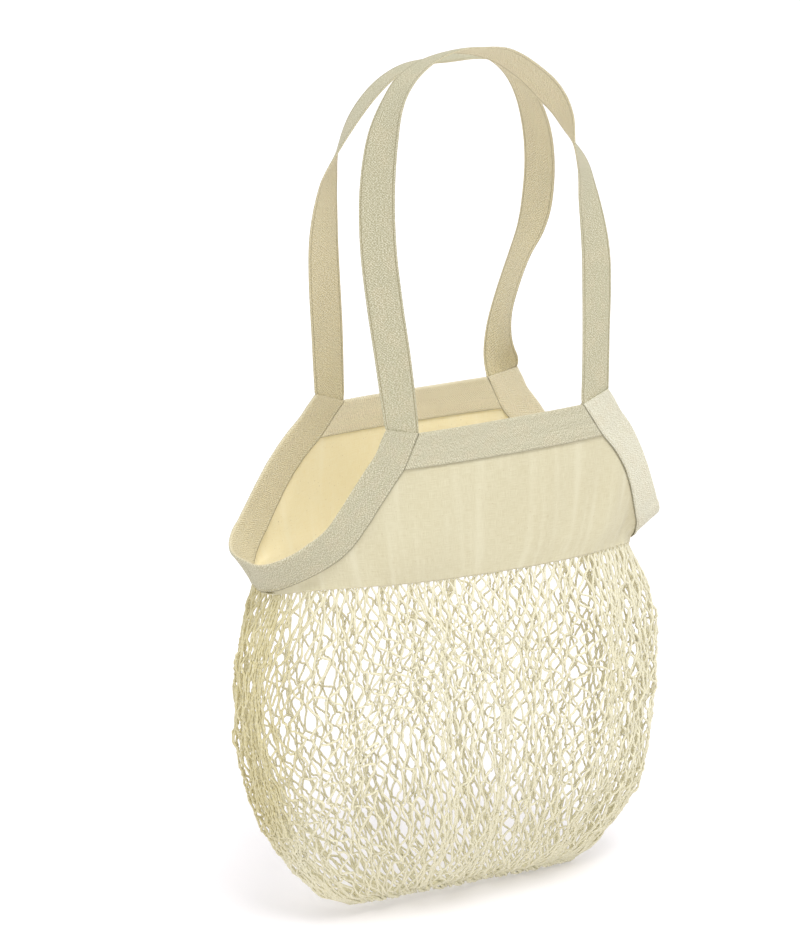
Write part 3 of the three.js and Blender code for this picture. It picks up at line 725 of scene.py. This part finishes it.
handle = {
    "thick": 0.0019,
    "rings": 520,
    "around": 56,
    "tuckedIn": 0.004,
    "reach": 0.100,
    "depth": 0.853 * body["halfDepth"],
    "seamInset": 0.0022,
    "seamWidth": 0.0007,
    "seamDepth": 0.20,
    "ovalPowers": (0.55, 0.35),
    "foldRound": 0.002,
    "wobble": 0.0005,
    "wobbleTurns": 46,
    "endRings": 6,
    "front": {
        "along": [-1.08, -1.11, -1.13, -1.10, -1.02, -0.91, -0.77, -0.56, -0.33, -0.11,
                  0.13, 0.42, 0.59, 0.73, 0.81, 0.90, 0.92, 0.95, 0.93, 0.88],
        "across": [-0.88, -0.76, -0.64, -0.52, -0.43, -0.38, -0.34, -0.32, -0.29, -0.28,
                   -0.27, -0.27, -0.28, -0.29, -0.33, -0.38, -0.45, -0.59, -0.69, -0.81],
        "up": [0.220, 0.367, 0.531, 0.697, 0.833, 0.927, 0.991, 1.037, 1.056, 1.051,
               1.029, 0.962, 0.904, 0.835, 0.756, 0.673, 0.594, 0.435, 0.321, 0.179],
        "turn": [-22, -27, -32, -46, -64, -85, -92, -100, -105, -109,
                 -117, -119, -118, -96, -67, -41, -25, -6, -3, -7],
        "fold": [0] * 20,
    },
    "back": {
        "along": [-1.10, -1.17, -1.21, -1.20, -1.14, -1.02, -0.86, -0.68, -0.49, -0.23, 0.04, 0.28,
                  0.46, 0.60, 0.71, 0.77, 0.78, 0.75, 0.68, 0.62, 0.59, 0.59, 0.60],
        "across": [0.86, 0.72, 0.60, 0.50, 0.45, 0.40, 0.36, 0.33, 0.31, 0.29, 0.28, 0.28,
                   0.29, 0.31, 0.34, 0.40, 0.50, 0.57, 0.64, 0.74, 0.83, 0.90, 0.94],
        "up": [0.197, 0.385, 0.539, 0.689, 0.769, 0.853, 0.924, 0.976, 1.002, 1.009, 1.010, 0.989,
               0.941, 0.873, 0.779, 0.671, 0.546, 0.469, 0.394, 0.301, 0.213, 0.136, 0.078],
        "turn": [0, 0, 10, 34, 58, 74, 79, 79, 82, 86, 88, 88,
                 86, 80, 70, 65, 64, 74, 88, 91, 88, 73, 50],
        "fold": [0] * 20 + [6, 12, 8],
    },
}


# A smooth line through stops: in each gap a cubic whose knots are spaced by the square root of
# the stops' distances, and whose ends are mirrored stops
def lineThrough(stops, share):
    stops = np.concatenate([[2 * stops[0] - stops[1]], stops, [2 * stops[-1] - stops[-2]]])
    place = share * (len(stops) - 3)
    i = np.clip(np.floor(place).astype(int), 0, len(stops) - 4)
    s = (place - i)[:, None]
    p = [stops[i + k] for k in range(4)]
    gap = [np.sqrt(np.linalg.norm(p[k + 1] - p[k], axis=1))[:, None] for k in range(3)]
    start = ((p[1] - p[0]) / gap[0] - (p[2] - p[0]) / (gap[0] + gap[1]) + (p[2] - p[1]) / gap[1]) * gap[1]
    end = ((p[2] - p[1]) / gap[1] - (p[3] - p[1]) / (gap[1] + gap[2]) + (p[3] - p[2]) / gap[2]) * gap[1]
    rise = p[2] - p[1]
    return p[1] + s * start + s**2 * (3 * rise - 2 * start - end) + s**3 * (start + end - 2 * rise)


# Section of a handle: a flat oval of high power, its two seams pressed in, and its halves leaning
# back from the middle by the fold angle. It starts at one edge and runs over the inner face first.
def handleSection(foldAngle):
    turn = -np.arange(handle["around"]) * 2 * np.pi / handle["around"]
    half = body["tapeWidth"] / 2
    widePower, thickPower = handle["ovalPowers"]
    x = half * np.sign(np.cos(turn)) * np.abs(np.cos(turn)) ** widePower
    y = handle["thick"] / 2 * np.sign(np.sin(turn)) * np.abs(np.sin(turn)) ** thickPower
    pressed = np.exp(-(((np.abs(x) - half + handle["seamInset"]) / handle["seamWidth"]) ** 2))
    y = y * (1 - handle["seamDepth"] * pressed)
    bend = foldAngle[:, None]
    sink = np.sqrt(x**2 + handle["foldRound"] ** 2) - handle["foldRound"]
    return x * np.cos(bend), y - sink * np.sin(bend)


# A handle: its section carried along a smooth line between the bindings' ends. The section's
# plain normal is the outward direction made square to the line, turned about it by the table's
# angle, and both ends follow the bindings.
def makeHandle(face):
    outwards = np.array([0, -1.0 if face == "front" else 1.0, 0])
    table = handle[face]
    ends = [scoopRibs(side, face, np.array([0.0])) for side in (-1, 1)]
    middles = [(e["sewn"] + e["across"] * body["tapeWidth"] / 2)[0] for e in ends]
    aways = [-e["line"][0] for e in ends]
    stops = np.stack([
        np.array(table["along"]) * handle["reach"],
        np.array(table["across"]) * handle["depth"],
        (np.array(table["up"]) - 1) * body["hangToHem"],
    ], 1)
    inner = [middle - away * handle["tuckedIn"] for middle, away in zip(middles, aways)]
    route = np.concatenate([[middles[0]], stops, [middles[1]]])
    share = np.linspace(0, 1, handle["rings"])
    line = lineThrough(route, share)
    line = np.concatenate([[inner[0]], line, [inner[1]]])
    tangent = unit(np.gradient(line, axis=0))
    first = np.zeros((len(line), 1))
    first[: handle["endRings"], 0] = np.linspace(1, 0, handle["endRings"])
    last = first[::-1]
    tangent = unit(tangent * (1 - first - last) + aways[0] * first - aways[1] * last)
    plain = unit(outwards - tangent * (tangent @ outwards)[:, None])
    beside = np.cross(tangent, plain)

    def turnOf(end, k):
        return np.degrees(np.arctan2(end["normal"][0] @ beside[k], end["normal"][0] @ plain[k]))

    turns = {
        "stop": np.arange(len(stops) + 2),
        "turn": np.concatenate([[turnOf(ends[0], 0)], table["turn"], [turnOf(ends[1], -1)]]),
        "fold": np.concatenate([[0], table["fold"], [0]]),
    }
    place = np.concatenate([[0], share, [1]]) * (len(stops) + 1)
    row = readTable(turns, "stop", place)
    turn = np.radians(row["turn"])[:, None]
    normal = plain * np.cos(turn) + beside * np.sin(turn)
    across = np.cross(tangent, normal)
    x, y = handleSection(np.radians(row["fold"]))
    run = lengthAlong(line)
    wave = handle["wobble"] * np.sin(run * handle["wobbleTurns"] + 1.3)[:, None]
    height = y + wave * (x / body["tapeWidth"] * 2) ** 2
    points = line[:, None] + across[:, None] * x[..., None] + normal[:, None] * height[..., None]
    strip = lengthAlong(np.stack([np.append(x[-1], x[-1, 0]), np.append(y[-1], y[-1, 0])], -1))
    strip = strip / strip[-1] * 2 * body["tapeWidth"]
    uv = np.stack(np.broadcast_arrays(run[:, None], strip[None]), -1)
    piece = gridMesh(face + "_handle_tape", points, uv, closed=True)
    keep(piece, handleCloth, face + "_handle")


makeHandle("front")
makeHandle("back")

# Stitching

stitch = {
    "length": 0.0027,
    "pitch": 0.0033,
    "thick": 0.00055,
    "rise": 0.00022,
    "rings": 6,
    "sides": 5,
    "inset": 0.0022,
}


# A row of stitches along a line: each is a short bent cord that rises by a sine and dips back
# into the cloth at both ends
def makeStitches(name, rows, slot):
    rings, sides = stitch["rings"], stitch["sides"]
    grids = []
    for line, up in rows:
        run = lengthAlong(line)
        starts = np.arange(stitch["pitch"], run[-1] - 2 * stitch["pitch"], stitch["pitch"])
        share = np.linspace(0, 1, rings)
        at = starts[:, None] + share * stitch["length"]
        path = np.stack([np.interp(at, run, line[:, k]) for k in range(3)], -1)
        guide = np.stack([np.interp(at, run, up[:, k]) for k in range(3)], -1)
        lift = (np.sin(np.pi * share) ** 0.6 - 0.35) * stitch["rise"] * 2
        path = path + guide * lift[:, None]
        radius = stitch["thick"] / 2 * (0.35 + 0.65 * np.sin(np.pi * share) ** 0.5)
        grids.append(tubePoints(path, guide, np.broadcast_to(radius, at.shape), sides))
    points = np.concatenate(grids)
    along = np.linspace(0, stitch["length"], rings)
    strip = np.linspace(0, 1, sides + 1)
    one = np.stack(np.meshgrid(along, strip, indexing="ij"), -1)
    uv = np.broadcast_to(one, (len(points), rings, sides + 1, 2))
    keep(gridMesh(name, points, uv, closed=True), threadCloth)


# The two rows of a tape, inside and outside, beside its sewn edge
def seamRows(ribs):
    off = fold["standOff"] + fold["thick"] / 2
    edge = ribs["sewn"] + ribs["across"] * stitch["inset"]
    return [(edge + ribs["normal"] * off * side, ribs["normal"] * side) for side in (-1, 1)]


for name, tapes in (("hem", hems), ("binding", bindings)):
    rows = [row for ribs in tapes.values() for row in seamRows(ribs)]
    makeStitches(name + "_stitches", rows, name + "_tape")
print("stitching made")

# Net

net = {
    "flat": (0.48, 0.35),
    "areaLimits": (0.0505, 0.168),
    "columns": 104,
    "rows": 30,
    "partsPerRow": 5,
    "sides": 5,
    "cordThick": 0.0020,
    "touching": 0.07,
    "evenRound": 0.13,
    "top": 0.992,
    "insideEdge": 0.0012,
    "jitterAcross": 0.18,
    "jitterDown": 0.22,
    "jitterOut": 0.0010,
    "crimp": 0.00042,
    "foldHeights": [(0.0022, 9, 0.6), (0.0014, 17, 2.0)],
    "bundles": [(0.016, 9, 0.4), (0.012, 16, 1.9), (0.008, 29, 0.9)],
    "openPlace": -0.86,
    "openSpread": 0.65,
    "openWidth": 0.40,
    "openLevel": 1.42,
    "openSlant": 0.190,
    "openSlantWidth": 0.20,
    "openPress": 0.36,
    "sidePlaces": [(-1.34, 0.66, 0.26), (0.78, 0.32, 0.32), (2.1, 0.30, 0.3), (-2.1, 0.30, 0.3)],
    "wander": [(0.40, 5, 5.0, 0.3), (0.30, 11, 8.0, 1.2), (0.18, 19, 12.0, 2.6)],
}


# Levels of the net's rows: even steps of length down the front, which curves in under the bag
def rowLevels():
    level = np.linspace(net["top"], 2, 400)
    down = lengthAlong(bodyPoint(np.full_like(level, 0.5), level))
    return np.interp(np.linspace(0, down[-1], net["rows"] + 1), down, level)


# Cord k meets its left neighbour at even rows and its right one at odd rows, so it swings by half
# a column between rows, eased so that joined cords run together for a short way
def netCords():
    columns, rows, parts = net["columns"], net["rows"], net["partsPerRow"]
    cord = np.arange(2 * columns)[:, None]
    row = np.arange(rows + 1)[None]
    leftwards = (row + cord) % 2 == 0
    knot = np.where(leftwards, cord, cord + 1) % (2 * columns)
    middle = np.where(leftwards, cord / 2, (cord + 1) / 2)
    place = middle + np.where(leftwards, net["touching"], -net["touching"])
    shift = chance.normal(0, 1, (3, 2 * columns, rows + 1)) * np.array(
        [net["jitterAcross"], net["jitterDown"], net["jitterOut"]])[:, None, None]
    quiet = smooth(np.minimum(row, rows - row) / 2.0)
    moved = shift[:, knot, np.broadcast_to(row, knot.shape)] * quiet
    column, down, out = place + moved[0], row + moved[1], moved[2]
    share = np.arange(parts) / parts
    ease = 0.35 * share + 0.65 * smooth((share - 0.12) / 0.76)

    def refine(values, weight):
        gaps = values[:, :-1, None] + (values[:, 1:] - values[:, :-1])[..., None] * weight
        return np.concatenate([gaps.reshape(len(values), -1), values[:, -1:]], 1)

    return refine(column, ease), refine(down, share), refine(out, ease)


# Where a net place lies on the bag: the columns bunch into soft bundles, and open out and slant
# on the left of the front
def netPlace(column, down):
    turn = 2 * np.pi * column / net["columns"]
    for size, waves, swing, start in net["wander"]:
        downwards = np.sin(swing * down / net["rows"] + start * 3 + 2 * np.sin(3 * turn))
        column = column + size * np.sin(waves * turn + start) * downwards * smooth(down / 4)
    turn = 2 * np.pi * column / net["columns"]
    level = np.interp(down, np.arange(net["rows"] + 1), rowLevels())
    body01 = smooth((level - 1) / 0.25) * smooth((2 - level) / 0.25)
    angle = turn - net["evenRound"] * np.sin(2 * turn)
    for size, waves, start in net["bundles"]:
        angle = angle + size * np.sin(waves * turn + start + 1.2 * level) * (0.35 + 0.65 * body01)
    away = (turn + np.pi) % (2 * np.pi) - np.pi - net["openPlace"]
    bell = np.exp(-((away / net["openWidth"]) ** 2)) * body01
    angle = angle + net["openSpread"] * away * bell
    middle = smooth((level - 1) / 0.48) * smooth((2 - level) / 0.48)
    slant = np.tanh(away / net["openSlantWidth"]) * np.exp(-(away**2))
    press = net["openPress"] * (level - net["openLevel"]) * np.exp(-((away / net["openWidth"]) ** 2))
    level = level - (press + net["openSlant"] * slant) * middle
    for place, pull, width in net["sidePlaces"]:
        away = (angle - place + np.pi) % (2 * np.pi) - np.pi
        angle = angle - pull * away * np.exp(-((away / width) ** 2)) * smooth((1.75 - level) / 0.3)
    edge = lowerEdge(angle) - 1
    level = np.clip(level, net["top"], 2)
    return angle, level + edge * (2 - level) / (2 - net["top"])


# The net: every cord a thin tube about its places on the bag, moved out by broad folds and a
# little at random, and thicker where it meets its neighbour
def makeNet():
    column, down, out = netCords()
    angle, level = netPlace(column, down)
    points = bodyPoint(angle, level)
    normal = bodyNormal(angle, np.minimum(level, 1.985))
    rise = smooth((level - 1) / 0.2) * smooth((2 - level) / 0.2)
    for size, waves, start in net["foldHeights"]:
        out = out + size * np.sin(waves * angle + start + 1.7 * level) * rise
    out = out - net["insideEdge"] * smooth((1.03 - level) / 0.03)
    points = points + normal * out[..., None]
    points = points + chance.normal(0, net["crimp"], points.shape) * rise[..., None]
    points[..., 1] *= 1 - 0.6 * smooth((level - 1.95) / 0.05)
    near = np.abs((down + 0.5) % 1 - 0.5)
    radius = net["cordThick"] / 2 * (1 + 0.14 * np.exp(-((near / 0.16) ** 2)))
    radius = radius * (1 + 0.07 * np.sin(down * 2.3 + column * 1.7))
    tube = tubePoints(points, normal, radius, net["sides"])
    run = lengthAlong(points)
    strip = np.linspace(0, 1, net["sides"] + 1)
    uv = np.stack(np.broadcast_arrays(run[..., None], strip), -1)
    facing = np.cos(angle[:, 0]) > 0
    total = 0
    for face, mask in (("front", facing), ("back", ~facing)):
        piece = gridMesh("net_" + face, tube[mask], uv[mask], closed=True)
        keep(piece, cordCloth, "net_body")
        total += len(piece.data.polygons)
    print("net cords", len(points), "faces", total, "cord metres", round(float(run[:, -1].sum()), 1))


makeNet()

# Gathered seam along the bottom of the net

seam = {
    "strands": 7,
    "thick": 0.0024,
    "bundle": 0.0032,
    "turns": 9,
    "points": 260,
    "sides": 7,
    "lift": 0.0022,
}


# Strands that wind about the seam's line: each keeps its own start on a small oval and wanders
def makeSeam():
    ends = bodyPoint(np.array([-np.pi / 2, np.pi / 2]), 2.0)
    share = np.linspace(-0.01, 1.01, seam["points"])[None]
    start = np.arange(seam["strands"])[:, None] * 2 * np.pi / seam["strands"]
    turn = start + 2 * np.pi * seam["turns"] * share + 1.1 * np.sin(share * 23 + start * 2)
    line = ends[0] + (ends[1] - ends[0]) * share[..., None]
    wide = seam["bundle"] * (1 + 0.25 * np.sin(share * 37 + start)) * np.sqrt(
        np.clip(1 - (2 * share - 1) ** 8, 0.15, 1))
    path = np.repeat(line, seam["strands"], 0)
    path[..., 1] += np.cos(turn) * wide * 1.5
    path[..., 2] += np.sin(turn) * wide * 0.8 + seam["lift"]
    path[..., 0] += 0.0015 * np.sin(share * 61 + start * 3)
    guide = np.broadcast_to(np.array([0.0, 0.0, 1.0]), path.shape)
    radius = np.full(path.shape[:2], seam["thick"] / 2)
    tube = tubePoints(path, guide, radius, seam["sides"])
    run = lengthAlong(path)
    uv = np.stack(np.broadcast_arrays(run[..., None], np.linspace(0, 1, seam["sides"] + 1)), -1)
    keep(gridMesh("bottom_seam", tube, uv, closed=True), cordCloth)


makeSeam()
print("bottom seam made")

# Floor, light and camera

studio = {
    "floorSize": 30.0,
    "floorGap": 0.001,
    "floorShades": ((0.82, 0.80, 0.83, 1), (0.84, 0.82, 0.85, 1)),
    "floorGrain": 30.0,
    "floorGlow": 0.17,
    "sky": 0.89,
    "sunPower": 1.5,
    "sunAngle": 0.50,
    "sunFrom": (-0.08, -0.45, 1.0),
    "cameraSpot": (-1.6785, -2.6755, 0.6202),
    "lens": 151.4,
    "azimuth": 31.0,
    "elevation": 17.0,
}


def makeStudio():
    low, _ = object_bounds()
    half = studio["floorSize"] / 2
    z = low[2] - studio["floorGap"]
    mesh = bpy.data.meshes.new("floor")
    corners = [(-half, -half, z), (half, -half, z), (half, half, z), (-half, half, z)]
    mesh.from_pydata(corners, [], [(0, 1, 2, 3)])
    floor = bpy.data.objects.new("floor", mesh)
    bpy.context.scene.collection.objects.link(floor)
    material, flow, shader = newMaterial("studio floor", 0.8, 0.0)
    grain = noise(flow, studio["floorGrain"], 2.0, flow.node("ShaderNodeTexCoord", {}, {}, 3))
    base = mixColour(flow, grain, *studio["floorShades"])
    flow.tree.links.new(base.socket, shader.inputs["Base Color"])
    shader.inputs["Emission Color"].default_value = (1, 1, 1, 1)
    shader.inputs["Emission Strength"].default_value = studio["floorGlow"]
    mesh.materials.append(material)
    world = bpy.data.worlds.new("studio")
    world.use_nodes = True
    world.node_tree.nodes["Background"].inputs[0].default_value = (1, 1, 1, 1)
    world.node_tree.nodes["Background"].inputs[1].default_value = studio["sky"]
    bpy.context.scene.world = world
    light = bpy.data.lights.new("key", "SUN")
    light.energy = studio["sunPower"]
    light.angle = studio["sunAngle"]
    key = bpy.data.objects.new("key", light)
    key.rotation_mode = "QUATERNION"
    key.rotation_quaternion = Vector(studio["sunFrom"]).to_track_quat("Z", "Y")
    bpy.context.scene.collection.objects.link(key)
    bpy.context.scene.view_settings.view_transform = "Standard"


def makeCamera():
    lens = bpy.data.cameras.new("camera")
    lens.lens = studio["lens"]
    lens.sensor_width = 36.0
    camera = bpy.data.objects.new("camera", lens)
    across, up = np.radians(studio["azimuth"]), np.radians(studio["elevation"])
    look = Vector((np.sin(across) * np.cos(up), np.cos(across) * np.cos(up), -np.sin(up)))
    camera.location = studio["cameraSpot"]
    camera.rotation_mode = "QUATERNION"
    camera.rotation_quaternion = look.to_track_quat("-Z", "Y")
    bpy.context.scene.collection.objects.link(camera)
    bpy.context.scene.camera = camera


makeStudio()
makeCamera()
print("studio ready,", len(pieceNames), "pieces")
